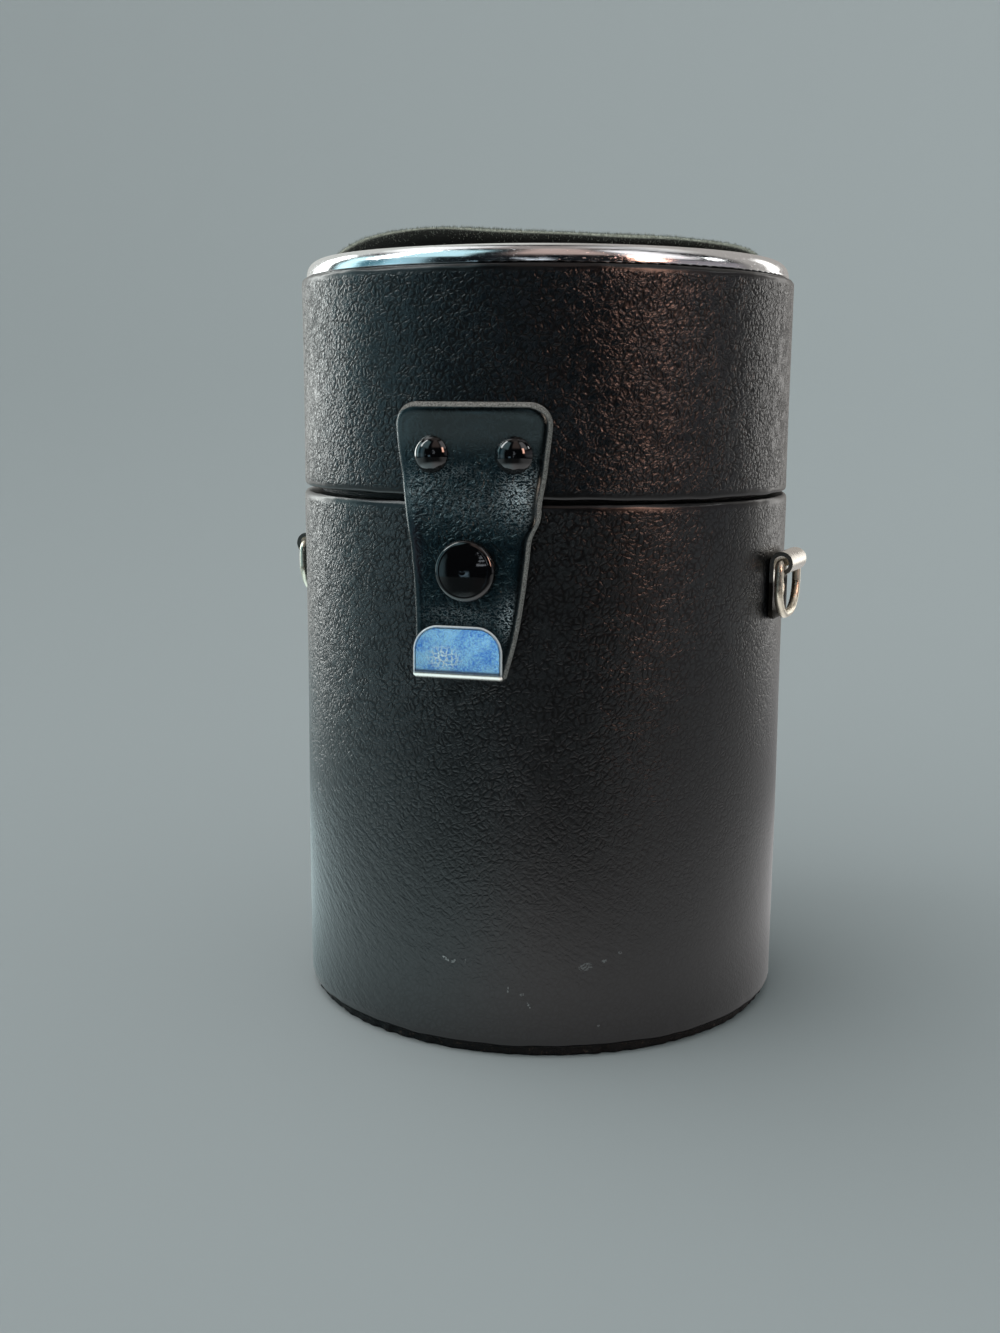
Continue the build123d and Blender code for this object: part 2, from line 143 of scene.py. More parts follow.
def run(start, end, step):
    """Evenly spaced points from start up to, and without, end."""
    start, end = np.array([start, end], float)
    count = max(1, round(float(np.linalg.norm(end - start)) / step))
    return [tuple(start + (end - start) * k / count) for k in range(count)]


def finish_mesh(name, points, faces, corners=None, values=None, merge=False, sharp=40):
    """Object from points in mm, with a map in mm called wrap and per-point values as attributes."""
    mesh = bpy.data.meshes.new(name)
    mesh.from_pydata((np.asarray(points) * MM).tolist(), [], np.asarray(faces).tolist())
    if corners is not None:
        layer = mesh.uv_layers.new(name="wrap")
        layer.data.foreach_set("uv", np.asarray(corners, np.float32).ravel())
    for key, value in (values or {}).items():
        layer = mesh.attributes.new(key, "FLOAT", "POINT")
        layer.data.foreach_set("value", np.asarray(value, np.float32).ravel())
    solid = bmesh.new()
    solid.from_mesh(mesh)
    if merge:
        bmesh.ops.remove_doubles(solid, verts=solid.verts, dist=1e-7)
    bmesh.ops.dissolve_degenerate(solid, edges=solid.edges, dist=1e-8)
    bmesh.ops.recalc_face_normals(solid, faces=solid.faces)
    solid.to_mesh(mesh)
    solid.free()
    mesh.shade_smooth()
    mesh.set_sharp_from_angle(angle=math.radians(sharp))
    made = bpy.data.objects.new(name, mesh)
    scene.collection.objects.link(made)
    return made


def grid_faces(rows, columns, wrap_rows, wrap_columns):
    """Quads over a grid of points, and for each corner its row and column, unwrapped."""
    i, j = np.meshgrid(
        np.arange(rows if wrap_rows else rows - 1),
        np.arange(columns if wrap_columns else columns - 1),
        indexing="ij",
    )
    i, j = i.ravel(), j.ravel()
    corner_rows = np.stack([i, i + 1, i + 1, i], axis=1)
    corner_columns = np.stack([j, j, j + 1, j + 1], axis=1)
    faces = (corner_rows % rows) * columns + corner_columns % columns
    return faces, corner_rows, corner_columns


def lathe(name, profile, azimuths, shape=None, closed=True, values=None, merge=False):
    """Surface of revolution about Z from (radius, height) points, with an optional change of shape."""
    profile = np.array(profile, float)
    azimuths = np.array(azimuths, float)
    azimuth, radius = np.meshgrid(azimuths, profile[:, 0], indexing="ij")
    height = np.meshgrid(azimuths, profile[:, 1], indexing="ij")[1]
    if shape:
        radius, height = shape(radius, height, azimuth)
    turn = np.radians(azimuth)
    points = np.stack([radius * np.sin(turn), -radius * np.cos(turn), height], axis=-1)
    faces, rows, columns = grid_faces(len(azimuths), len(profile), True, closed)
    steps = np.linalg.norm(np.diff(profile, axis=0, append=profile[:1]), axis=1)
    along = np.concatenate([[0], np.cumsum(steps)])
    around = np.radians(np.append(azimuths, azimuths[0] + 360)) * case_radius
    corners = np.stack([around[rows], along[columns]], axis=-1).reshape(-1, 2)
    spread = {key: np.tile(value, (len(azimuths), 1)) for key, value in (values or {}).items()}
    return finish_mesh(name, points.reshape(-1, 3), faces, corners, spread, merge)


def round_azimuths(step, groove=()):
    """Azimuths all the way round, with closer ones beside a groove at the back."""
    azimuths = list(np.arange(-180, 180, step))
    azimuths += [-180 + offset for offset in groove] + [180 - offset for offset in groove]
    return sorted(set(round(a, 4) for a in azimuths))


# Shader helpers. Places are in millimetres and scales in cells per millimetre


def plug(socket, value):
    """Gives an input a value or another node's output. A colour is three numbers."""
    if isinstance(value, bpy.types.NodeSocket):
        socket.id_data.links.new(value, socket)
    else:
        socket.default_value = (*value, 1) if socket.type == "RGBA" else value


def node(tree, kind, inputs=None, **settings):
    """Shader node with its settings, and its inputs as values or as other nodes' outputs."""
    made = tree.nodes.new("ShaderNode" + kind)
    for key, value in settings.items():
        setattr(made, key, value)
    for key, value in (inputs or {}).items():
        plug(made.inputs[key], value)
    return made


def joined(kind, inputs, **settings):
    """Shader node in the tree that holds the outputs among its inputs."""
    linked = [value for value in inputs.values() if isinstance(value, bpy.types.NodeSocket)]
    return node(linked[0].id_data, kind, inputs, **settings)


def math_of(operation, a, b=0, c=0):
    return joined("Math", {0: a, 1: b, 2: c}, operation=operation).outputs[0]


def times(first, *others):
    for other in others:
        first = math_of("MULTIPLY", first, other)
    return first


def times_plus(a, b, c):
    return math_of("MULTIPLY_ADD", a, b, c)


def minus(a, b):
    return math_of("SUBTRACT", a, b)


def larger(a, b):
    return math_of("MAXIMUM", a, b)


def size_of(a):
    return math_of("ABSOLUTE", a)


def vector_of(operation, a, b=(0, 0, 0), output=0):
    return joined("VectorMath", {0: a, 1: b}, operation=operation).outputs[output]


def scaled(place, factors):
    return vector_of("MULTIPLY", place, factors)


def length_of(vector):
    return vector_of("LENGTH", vector, output="Value")


def part_of(vector, axis):
    return joined("SeparateXYZ", {0: vector}).outputs[axis]


def turned_by(place, degrees):
    """Place turned on its map."""
    inputs = {"Vector": place, "Angle": math.radians(degrees)}
    return joined("VectorRotate", inputs, rotation_type="Z_AXIS").outputs[0]


def range_of(value, low, high, to_low=0, to_high=1):
    """Smooth change from one value to another between two levels."""
    inputs = {"Value": value, "From Min": low, "From Max": high, "To Min": to_low, "To Max": to_high}
    return joined("MapRange", inputs, interpolation_type="SMOOTHSTEP").outputs[0]


def eased(value, middle, share):
    """Value that nears a middle one as the share falls from 1 to 0."""
    return times_plus(minus(value, middle), share, middle)


def mix_of(share, a, b):
    """Colour mix."""
    return joined("Mix", {0: share, 6: a, 7: b}, data_type="RGBA").outputs[2]


def noise_of(place, scale, detail=2, roughness=0.5, output="Fac"):
    inputs = {"Vector": place, "Scale": scale, "Detail": detail, "Roughness": roughness}
    return joined("TexNoise", inputs).outputs[output]


def cells_of(place, scale):
    """Distance to the nearest edge of irregular cells."""
    settings = {"voronoi_dimensions": "2D", "feature": "DISTANCE_TO_EDGE"}
    return joined("TexVoronoi", {"Vector": place, "Scale": scale}, **settings).outputs["Distance"]


def feed(shader, **sockets):
    """Gives the shader its inputs, named with _ for a space."""
    for key, value in sockets.items():
        plug(shader.inputs[key.replace("_", " ")], value)


def new_material(name, base, roughness, **sockets):
    """Material with constant shader settings, its node tree and its shader."""
    made = bpy.data.materials.new(name)
    made.use_nodes = True
    tree = made.node_tree
    shader = tree.nodes["Principled BSDF"]
    feed(shader, Base_Color=base, Roughness=roughness, **sockets)
    return made, tree, shader


def object_place(tree):
    """Place on the piece."""
    return scaled(node(tree, "TexCoord").outputs["Object"], (1 / MM,) * 3)


def wrap_place(tree):
    """Place on the leather's own map."""
    return node(tree, "UVMap", uv_map="wrap").outputs["UV"]


def value_of(tree, key):
    return node(tree, "Attribute", attribute_name=key).outputs["Fac"]


def bump(shader, height, depth):
    """Bump with a depth in millimetres."""
    made = joined("Bump", {"Height": height, "Distance": depth * MM})
    feed(shader, Normal=made.outputs["Normal"])


def grain_height(place, cell, flank, warp=0.8, slope=-38, squeeze=0.8):
    """Pebble grain: nearly flat tops near 1, creases down to 0 between them, and finer wrinkles."""
    wander = noise_of(place, 0.3 / cell, output="Color")
    wander = vector_of("SUBTRACT", wander, (0.5, 0.5, 0.5))
    wander = scaled(wander, (warp * cell * 2, warp * cell * 2, 0))
    place = turned_by(vector_of("ADD", place, wander), slope)
    place = scaled(place, (squeeze, 1, 1))
    tops = range_of(cells_of(place, 1 / cell), 0, flank)
    fine = range_of(cells_of(place, 2.2 / cell), 0, flank)
    pores = noise_of(place, 4.5 / cell)
    fading = range_of(noise_of(place, 0.45 / cell, 3, 0.6), 0.36, 0.6, 0.3)
    creases = times(minus(1, tops), fading)
    height = times_plus(creases, -0.75, times_plus(fine, 0.22, 0.75))
    return times_plus(pores, 0.2, height)


# Materials


def scuff(place, around, height, length, width, slope, share):
    """Broken oval rubbed mark."""
    spot = vector_of("SUBTRACT", place, (around, height - floor_z + lower_turn, 0))
    spot = vector_of("DIVIDE", turned_by(spot, -slope), (length / 2, width / 2, 1))
    broken = range_of(noise_of(place, 2.2, 3, 0.75), 0.4, 0.6)
    mark = times(range_of(length_of(spot), 0.3, 1.1, 1, 0), broken)
    return range_of(mark, 0.2, 0.65, 0, share)


def cover_leather(name, depth, calm_low, calm_right, painted_crest_highlight, scuffs=()):
    """Black leatherette, pebble-grained, smooth over its turned edges and gently wavy where calm, with a
    painted highlight on its pebble tops.
    """
    made, tree, shader = new_material(name, (0.003, 0.0035, 0.004), 0.35, IOR=1.52)
    place = wrap_place(tree)
    grain = grain_height(place, 1.18, 0.36, 1.1)
    smooth = range_of(value_of(tree, "edge"), 0.9, 2, 0.06)
    level, sideways = (part_of(object_place(tree), axis) for axis in "ZX")
    calm = range_of(level, 15, 105, calm_low)
    calm = times(calm, range_of(sideways, -12, 26, 1, calm_right))
    patches = range_of(noise_of(place, 0.05), 0.3, 0.7, 0.75, 1.15)
    strength = times(smooth, calm, patches)
    waves = noise_of(scaled(turned_by(place, 34), (0.22, 0.8, 1)), 1, 3, 0.6)
    rolling = times(smooth, minus(1.4, calm), range_of(sideways, -46, 4, 2.4, 0.5))
    bump(shader, times_plus(grain, strength, times(waves, rolling)), depth)
    held = range_of(strength, 0.35, 1)
    rough = eased(range_of(grain, 0.1, 0.9, 0.46, 0.24), 0.3, held)
    # Less specular in the creases than on the tops: painted shade in the grain's hollows.
    shine = eased(range_of(grain, 0.1, 0.9, 0.24, 0.52), 0.45, held)
    # Pebble tops take a lighter colour: a painted highlight, grey on the body and bluish on the lid.
    tops = times(range_of(grain, 0.45, 1), strength)
    skin = mix_of(tops, (0.0018, 0.002, 0.0024), painted_crest_highlight)
    dust = range_of(noise_of(place, 1.7, 3, 0.7), 0.745, 0.775, 0, 0.22)
    for row in scuffs:
        dust = larger(dust, scuff(place, *row))
    skin = mix_of(dust, skin, (0.42, 0.45, 0.45))
    rough = times_plus(dust, 0.3, rough)
    feed(shader, Base_Color=skin, Roughness=rough, Specular_IOR_Level=shine)
    return made


def tab_leather(name):
    """Black leather of the tab and the hinge strap, with a pale raw edge, a dark line inside it and painted
    highlights; its pale streaks are wear on the hinge strap.
    """
    glint = {"IOR": 1.39, "Specular_Tint": (0.6, 0.92, 1)}
    made, tree, shader = new_material(name, (0.01, 0.014, 0.016), 0.4, **glint)
    place = wrap_place(tree)
    grain = grain_height(place, 1.45, 0.4, 1.5, 20, 0.9)
    grained = value_of(tree, "grained")
    fibres = noise_of(object_place(tree), 3.2, 4, 0.8)
    inside = times_plus(minus(fibres, 0.5), 0.7, value_of(tree, "rim"))
    raw = range_of(inside, -0.12, 0.1, 1, 0)
    shade = times(range_of(inside, 0, 0.12), range_of(inside, 0.5, 1.3, 1, 0))
    height = times_plus(times(fibres, raw), 0.9, times(grain, grained))
    bump(shader, height, 0.27)
    clouds = noise_of(place, 0.16, 3)
    skin = mix_of(clouds, (0.0006, 0.003, 0.0045), (0.004, 0.009, 0.012))
    lit = times(range_of(grain, 0.45, 1), grained, clouds)
    skin = mix_of(lit, skin, (0.014, 0.028, 0.036))
    skin = mix_of(value_of(tree, "pale"), skin, (0.055, 0.068, 0.07))
    skin = mix_of(value_of(tree, "blush"), skin, (0.03, 0.01, 0.014))
    # Pale thread streaks: painted highlights on the tab, wear where the hinge strap folds.
    streaks = noise_of(scaled(place, (1, 1.6, 1)), 1, 2, 0.6)
    threads = size_of(minus(streaks, 0.5))
    worn = times(value_of(tree, "worn"), range_of(threads, 0.008, 0.05, 1, 0))
    skin = mix_of(worn, skin, (0.66, 0.75, 0.78))
    skin = mix_of(shade, skin, (0.0025, 0.003, 0.0035))
    fibre = mix_of(range_of(fibres, 0.32, 0.66), (0.05, 0.042, 0.036), (0.6, 0.57, 0.53))
    rough = larger(range_of(grain, 0.1, 0.95, 0.34, 0.2), times(raw, 0.9))
    feed(shader, Base_Color=mix_of(raw, skin, fibre), Roughness=rough)
    return made


def flesh_side(name):
    """Napped underside of the leather."""
    made, tree, shader = new_material(name, (0.06, 0.045, 0.035), 0.9, Sheen_Weight=0.25)
    place = object_place(tree)
    nap = noise_of(place, 2.6, 4, 0.7)
    broad = noise_of(place, 0.25)
    feed(shader, Base_Color=mix_of(broad, (0.035, 0.028, 0.024), (0.085, 0.064, 0.05)))
    bump(shader, nap, 0.16)
    return made


def soft_cloth(name, low, high, tint, pile, sheen=0.8, spread=0.45, nap=None):
    """Short pile cloth of the lining and the top; when given nap, a painted sheen makes it paler where it is
    seen edge-on.
    """
    fuzz = {"Sheen_Weight": sheen, "Sheen_Roughness": spread, "Sheen_Tint": tint}
    made, tree, shader = new_material(name, low, 0.92, Specular_IOR_Level=0.12, **fuzz)
    place = object_place(tree)
    fine = noise_of(place, pile, 3, 0.7)
    brushed = noise_of(scaled(place, (0.06, 0.06, 0.02)), 1, 3, 0.6)
    skin = mix_of(times_plus(fine, 0.6, times(brushed, 0.4)), low, high)
    if nap:
        # Painted sheen: a paler colour where the surface is seen edge-on.
        along = node(tree, "LayerWeight", {"Blend": 0.5}).outputs["Facing"]
        tufts = range_of(noise_of(place, 1.4, 3, 0.75), 0.35, 0.65, 0.25)
        skin = mix_of(times(range_of(along, 0.72, 0.92), tufts), skin, nap)
    feed(shader, Base_Color=skin)
    bump(shader, times_plus(brushed, 0.5, fine), 0.28)
    return made


def bright_metal(name, base, roughness, streaks, scratch=0, stain=None, stretch=(0.06, 0.06, 2.6)):
    """Polished metal with fine lines from polishing, small scratches and a little haze."""
    made, tree, shader = new_material(name, base, roughness, Metallic=1)
    place = object_place(tree)
    height = times(noise_of(scaled(place, stretch), 1, 3, 0.65), streaks)
    haze = noise_of(place, 0.35, 4, 0.65)
    rough = range_of(haze, 0.35, 0.7, roughness * 0.75, roughness * 1.5)
    if scratch:
        marks = noise_of(scaled(place, (0.9, 0.9, 5)), 1, 4, 0.8)
        marks = range_of(marks, 0.62, 0.7)
        height = times_plus(marks, -scratch, height)
        rough = times_plus(marks, 0.3, rough)
    bump(shader, height, 0.02)
    feed(shader, Roughness=rough)
    if stain:
        grime = range_of(noise_of(place, 0.5, 4, 0.7), 0.52, 0.72)
        feed(shader, Base_Color=mix_of(grime, base, stain))
    return made


def lug_nickel(name, bright, painted_shade_colour):
    """Nickel of the lugs: bright on the rolled eye, with painted shade that turns the plate under it and the
    cut ends almost black.
    """
    made, tree, shader = new_material(name, bright, 0.24, Metallic=1)
    place = object_place(tree)
    cloud = noise_of(place, 0.6, 4, 0.7)
    level = times_plus(cloud, 2, part_of(place, "Z"))
    # Painted shade and dark reflection: almost black below the eye and on faces turned along Y.
    painted_shade = range_of(level, eye_low_z, eye_low_z + 2, 1, 0)
    facing = part_of(node(tree, "NewGeometry").outputs["Normal"], "Y")
    painted_shade = larger(painted_shade, range_of(size_of(facing), 0.7, 0.9, 0, 0.85))
    rough = times_plus(painted_shade, 0.3, range_of(cloud, 0.3, 0.7, 0.16, 0.34))
    feed(shader, Base_Color=mix_of(painted_shade, bright, painted_shade_colour), Roughness=rough)
    bump(shader, cloud, 0.03)
    return made


def plate_with_painted_reflection(name):
    """Bright plate of the clip, its mottled blue a painted reflection, with frosty rubbed marks low on its
    left side.
    """
    # The blues of this plate are a painted reflection on the bright metal.
    made, tree, shader = new_material(name, (0.4, 0.74, 1), 0.2, Metallic=0.75)
    place = wrap_place(tree)
    mottle = noise_of(place, 2, 6, 0.8)
    blotch = times_plus(noise_of(place, 0.25), 0.35, times(mottle, 0.75))
    tint = mix_of(range_of(blotch, 0.43, 0.62), (0.062, 0.265, 0.74), (0.5, 0.8, 1))
    spot = vector_of("SUBTRACT", place, (clip_rub_x, clip_rub_run, 0))
    reach = length_of(vector_of("DIVIDE", spot, (4.2, 2.9, 1)))
    wander = scaled(noise_of(place, 0.9, output="Color"), (1.6, 1.6, 0))
    scribble = cells_of(vector_of("ADD", place, wander), 0.95)
    broken = range_of(noise_of(place, 1.9, 3, 0.8), 0.36, 0.5)
    lines = range_of(scribble, 0.08, 0.2, 1, 0)
    rub = times(lines, broken, range_of(reach, 0.35, 1.15, 1, 0))
    tint = mix_of(rub, tint, (1, 1, 0.94))
    # Painted highlight on the fold.
    tint = mix_of(value_of(tree, "fold"), tint, (0.93, 0.9, 0.84))
    tint = mix_of(value_of(tree, "line"), tint, (0.08, 0.08, 0.1))
    # Painted highlight along the outline, where the metal is also made less metallic.
    outline = value_of(tree, "outline")
    tint = mix_of(outline, tint, (0.93, 0.95, 0.96))
    rough = range_of(mottle, 0.3, 0.7, 0.12, 0.2)
    feed(shader, Base_Color=tint, Metallic=times_plus(outline, -0.7, 0.75), Roughness=rough)
    bump(shader, mottle, 0.012)
    return made


def black_enamel(name):
    """Glossy black enamel with dust and a faint orange-peel surface."""
    black, coat = (0.003, 0.003, 0.0035), {"Coat_Weight": 0.35, "Coat_Roughness": 0.03}
    made, tree, shader = new_material(name, black, 0.05, IOR=1.5, **coat)
    place = object_place(tree)
    bump(shader, noise_of(place, 0.8), 0.02)
    dust = range_of(noise_of(place, 3.6, 3, 0.7), 0.68, 0.74, 0, 0.35)
    tint = mix_of(dust, black, (0.1, 0.1, 0.1))
    feed(shader, Base_Color=tint, Roughness=times_plus(dust, 0.6, 0.05))
    return made


def fibre_board(name, low, high, gloss):
    """Pressed fibre board or paper, with flecks and faint layers."""
    made, tree, shader = new_material(name, low, gloss)
    place = object_place(tree)
    flecks = noise_of(scaled(place, (1, 1, 2.5)), 1.6, 5, 0.75)
    broad = noise_of(place, 0.12, 3)
    share = times_plus(flecks, 0.65, times(broad, 0.35))
    feed(shader, Base_Color=mix_of(share, low, high))
    bump(shader, flecks, 0.1)
    return made


def worn_base(name):
    """Matt black underside, brown with wear and ragged at its rim."""
    made, tree, shader = new_material(name, (0.006, 0.006, 0.006), 0.8)
    place = object_place(tree)
    specks = range_of(noise_of(place, 0.9, 4, 0.75), 0.58, 0.68)
    feed(shader, Base_Color=mix_of(specks, (0.005, 0.005, 0.005), (0.075, 0.05, 0.036)))
    bump(shader, noise_of(place, 1.3, 4, 0.7), 0.35)
    return made


# Rubbed marks: place round the body, height, length and width in mm, slope in degrees, and how pale
cover_scuffs = [
    (-6.3, 20.7, 2.6, 0.8, -30, 1), (-4.6, 20.4, 1.7, 0.9, 40, 1), (-1.8, 20.6, 2, 0.5, 88, 0.25),
    (7.5, 15.2, 2.6, 0.55, 86, 0.45), (10.5, 14.3, 1.4, 0.9, 20, 0.3), (11.9, 12, 2.4, 0.6, -62, 0.6),
    (24, 20.4, 4.2, 2.4, 10, 0.3), (28, 21.4, 1.6, 1.3, 0, 0.4), (31.5, 23, 1.3, 1.1, 0, 0.25),
    (27, 7, 0.9, 0.8, 0, 0.3),
]
even = (0.8, 0.8, 0.8)
# The fourth value of each leather is the painted highlight on its pebble tops.
body_leather = cover_leather("body_leather", 0.125, 0.28, 0.6, (0.031, 0.035, 0.037), cover_scuffs)
lid_leather = cover_leather("lid_leather", 0.145, 1, 1, (0.004, 0.0078, 0.011))
strap_leather = tab_leather("strap_leather")
suede = flesh_side("suede")
# The top pad's last colour is its painted sheen.
pad_cloth = soft_cloth(
    "pad_cloth", (0.0015, 0.0016, 0.0014), (0.009, 0.0095, 0.008), (0.55, 0.6, 0.5), 2.2, 0.2, 0.3,
    (0.75, 0.8, 0.66),
)
pile_cloth = soft_cloth("pile_cloth", (0.05, 0.055, 0.045), (0.62, 0.66, 0.55), (0.6, 0.65, 0.55), 1.2, 0.3)
velvet = soft_cloth("velvet", (0.07, 0.004, 0.008), (0.2, 0.014, 0.022), (0.9, 0.25, 0.28), 3)
chrome = bright_metal("chrome", (0.86, 0.87, 0.88), 0.13, 1, 0.4)
clip_chrome = plate_with_painted_reflection("clip_chrome")
nickel = bright_metal("nickel_plate", (0.74, 0.69, 0.57), 0.3, 1, 0.5, (0.4, 0.34, 0.25), even)
# The lugs' second colour is their painted shade.
lug_metal = lug_nickel("lug_nickel", (0.82, 0.79, 0.72), (0.02, 0.018, 0.015))
brass = bright_metal("snap_brass", (0.62, 0.55, 0.42), 0.22, 1, 0.4, (0.3, 0.22, 0.12), even)
spring_steel = bright_metal("spring_steel", (0.55, 0.55, 0.56), 0.25, 1)
enamel = black_enamel("enamel")
board = fibre_board("fibre_board", (0.13, 0.085, 0.05), (0.3, 0.21, 0.13), 0.85)
sleeve_paper = fibre_board("sleeve_paper", (0.01, 0.009, 0.009), (0.035, 0.031, 0.03), 0.6)
base_skin = worn_base("base_skin")

# Finishes of the CAD nodes that stay in view
finishes = [
    (board, "body_shell lid_shell base_board lid_top_board"),
    (sleeve_paper, "neck_sleeve"),
    (velvet, "body_lining lid_lining"),
    (brass, "snap_stud snap_post snap_socket"),
    (spring_steel, "snap_spring"),
    (lug_metal, "lug_plate_left lug_plate_right"),
    (nickel, "lug_rivets lug_washers hinge_washers_lower hinge_washers_upper tab_washers"),
    (nickel, "strap_ring_left strap_ring_right"),
    (enamel, "hinge_rivets_lower hinge_rivets_upper tab_rivets snap_cap"),
    (chrome, "trim_ring"),
]
for material, names in finishes:
    for name in names.split():
        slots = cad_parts[name].data.materials
        slots.clear()
        slots.append(material)


# Leather covers

back_groove = [0.12, 0.25, 0.4, 0.6, 0.9]


def back_seam(azimuth):
    """Depth of the joint that runs down the back of a cover."""
    away = np.radians(180 - np.abs(azimuth)) * case_radius
    return 0.3 * bell(away, 0, 0.28)


def covered(name, outer, inner_side, material, replaced, body, slot_name, seed, droop=0.0):
    """Leatherette skin with a slightly uneven face; its lower edge droops by some mm at the right."""
    profile = np.array(outer + inner_side)
    low, high = profile[:, 1].min(), profile[:, 1].max()
    from_edge = np.minimum(profile[:, 1] - low, high - profile[:, 1])
    from_edge[len(outer):] = 0

    def shape(radius, height, azimuth):
        face = smooth_step(radius, shell_radius + 0.2, case_radius - 0.3)
        swell = 0.1 * ripple(azimuth, height, [2, 3, 5, 8], seed)
        near = np.exp(-np.minimum(height - low, high - height) / 1.6)
        pucker = 0.06 * near * ripple(azimuth, 0 * height, [31, 44, 57, 73], seed + 1)
        radius = radius + face * (swell + pucker - 0.1 - back_seam(azimuth))
        wander = 0.12 * near * ripple(azimuth, 0 * height, [7, 12, 19, 33], seed + 2)
        rightward = smooth_step(np.sin(np.radians(azimuth)), -0.2, 0.6)
        wander = wander - droop * np.exp(-(height - low) / 5.0) * rightward
        return radius, height + face * wander

    made = lathe(name, profile, round_azimuths(1.25, back_groove), shape, values={"edge": from_edge})
    made.data.materials.append(material)
    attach(made, body)
    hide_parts(replaced)


def body_outline():
    """Points of the body cover, up its outside and back inside over the rim."""
    low_round, inner_radius = edge_round / 2, sleeve_radius + glue_gap
    outer = [(shell_radius, floor_z)]
    outer += arc((case_radius - low_round, floor_z + low_round), low_round, -90, 0, 5)
    outer += run((case_radius, floor_z + low_round + 0.6), (case_radius, body_rim_z - edge_round), 1.2)
    outer += arc((round_start, body_rim_z - edge_round), edge_round, 0, 90, 9)
    inner = run((round_start - 0.5, body_rim_z), (inner_radius, body_rim_z), 0.8)
    turned_z = body_rim_z - turned_edge
    inner += [(inner_radius, body_rim_z), (inner_radius, turned_z), (shell_radius, turned_z)]
    return outer, inner


def lid_outline():
    """Points of the lid cover, up its outside, turned in at the top and back to its lower edge."""
    inner_radius = lid_bore + glue_gap
    outer = arc((round_start, lid_rim_z + edge_round), edge_round, -90, 0, 9)
    outer += run((case_radius, lid_rim_z + edge_round + 0.3), (case_radius, ring_line_z - edge_round), 1.2)
    outer += arc((round_start, ring_line_z - edge_round), edge_round, 0, 90, 9)
    inner = run((round_start - 0.4, ring_line_z), (inner_radius, ring_line_z), 0.8)
    inner += [(inner_radius, ring_line_z), (inner_radius, ring_line_z - turned_edge)]
    inner += [(shell_radius, ring_line_z - turned_edge), (shell_radius, lid_rim_z + turned_edge)]
    inner += [(inner_radius, lid_rim_z + turned_edge)]
    inner += run((inner_radius, lid_rim_z), (round_start - 0.2, lid_rim_z), 0.8)
    return outer, inner


covered("body_leather_cover", *body_outline(), body_leather, "body_cover", "case_body", "black_leather", 3)
covered("lid_leather_cover", *lid_outline(), lid_leather, "lid_cover", "lid", "black_leather", 11, 0.8)


# Leather straps with rounded, raw edges

edge_offsets = [0, 0.1, 0.25, 0.45, 0.7, 1.0, 1.35, 1.7, 2.1, 2.6, 3.1, 3.6, 4.2, 5.0]


def strip(name, levels, edges, place, outline_distance, tuck, depth_at, painted, skins, facing=-1):
    """Sheet built from level rows: a shaped face towards -Y, or +Y with facing 1, and a flat back."""
    rows = []
    for level in levels:
        left, right = edges(level)
        full_left, full_right = edges(level, whole=True)
        width = full_right - full_left
        middle = list(np.linspace(5.0, width - 5.0, 26))[1:-1]
        across = np.array(edge_offsets + middle + [width - o for o in edge_offsets[::-1]]) / width
        x = left + (right - left) * across
        rows.append(np.stack([x, np.full(len(x), level)], axis=-1))
    face = np.array(rows)
    x, level = face[..., 0], face[..., 1]
    distance = outline_distance(x, level)
    front = place(x, level, depth_at(distance, x, level))
    back = place(x, level, tuck * np.exp(-distance / 0.5))
    points = np.concatenate([front, back[:, ::-1]], axis=1)
    count, across = points.shape[:2]
    half = across // 2
    faces, corner_rows, corner_columns = grid_faces(count, across, False, True)
    flat = np.concatenate([face, face[:, ::-1]], axis=1)
    corners = flat[corner_rows, corner_columns % across].reshape(-1, 2)
    caps, cap_corners = [], []
    for row in (0, count - 1):
        for j in range(half - 1):
            columns = (j, j + 1, across - 2 - j, across - 1 - j)
            caps.append([row * across + k for k in columns])
            cap_corners += [flat[row, k] for k in columns]
    faces = np.concatenate([faces, np.array(caps)])
    corners = np.concatenate([corners, np.array(cap_corners)])
    values = {}
    for key, (on_face, on_back) in painted(x, level, distance).items():
        values[key] = np.concatenate([on_face, np.full_like(on_face, on_back)], axis=1)
    made = finish_mesh(name, points.reshape(-1, 3), faces, corners, values, sharp=60)
    for skin in skins:
        made.data.materials.append(skin)
    if len(skins) > 1:
        for polygon in made.data.polygons:
            inside = all(v % across >= half for v in polygon.vertices)
            polygon.material_index = int(inside and polygon.normal.y * facing < -0.3)
    return made


def rounded_edge(distance, thickness, reach, wall):
    """Thickness of leather at a distance from its cut edge: a quarter ellipse, then full."""
    share = np.clip(distance / reach, 0, 1)
    return wall + (thickness - wall) * np.sqrt(1 - (1 - share) ** 2)


def edge_distance(x, height, left, right, top, corner, low=None):
    """Distance inwards from a strip's outline with rounded corners, at its top and, with low, its bottom."""
    side = np.minimum(x - left, right - x)
    end = top - height if low is None else np.minimum(top - height, height - low)
    away_side, away_end = np.maximum(corner - side, 0), np.maximum(corner - end, 0)
    round_one = corner - np.hypot(away_side, away_end)
    return np.maximum(np.where((away_side > 0) & (away_end > 0), round_one, np.minimum(side, end)), 0)


def corner_tuck(corner, past):
    """How far a rounded corner draws a side in, at a distance past its start."""
    return corner - math.sqrt(max(corner ** 2 - max(past, 0) ** 2, 0))


def spots(x, height, places):
    """Sum of soft oval spots, each with its place, half sizes and weight."""
    total = 0
    for at_x, at_height, wide, high, weight in places:
        total = total + weight * bell(x, at_x, wide) * bell(height, at_height, high)
    return total


tab_tip_z, tab_top_z, tab_corner = 82.9, 137.8, 5.0
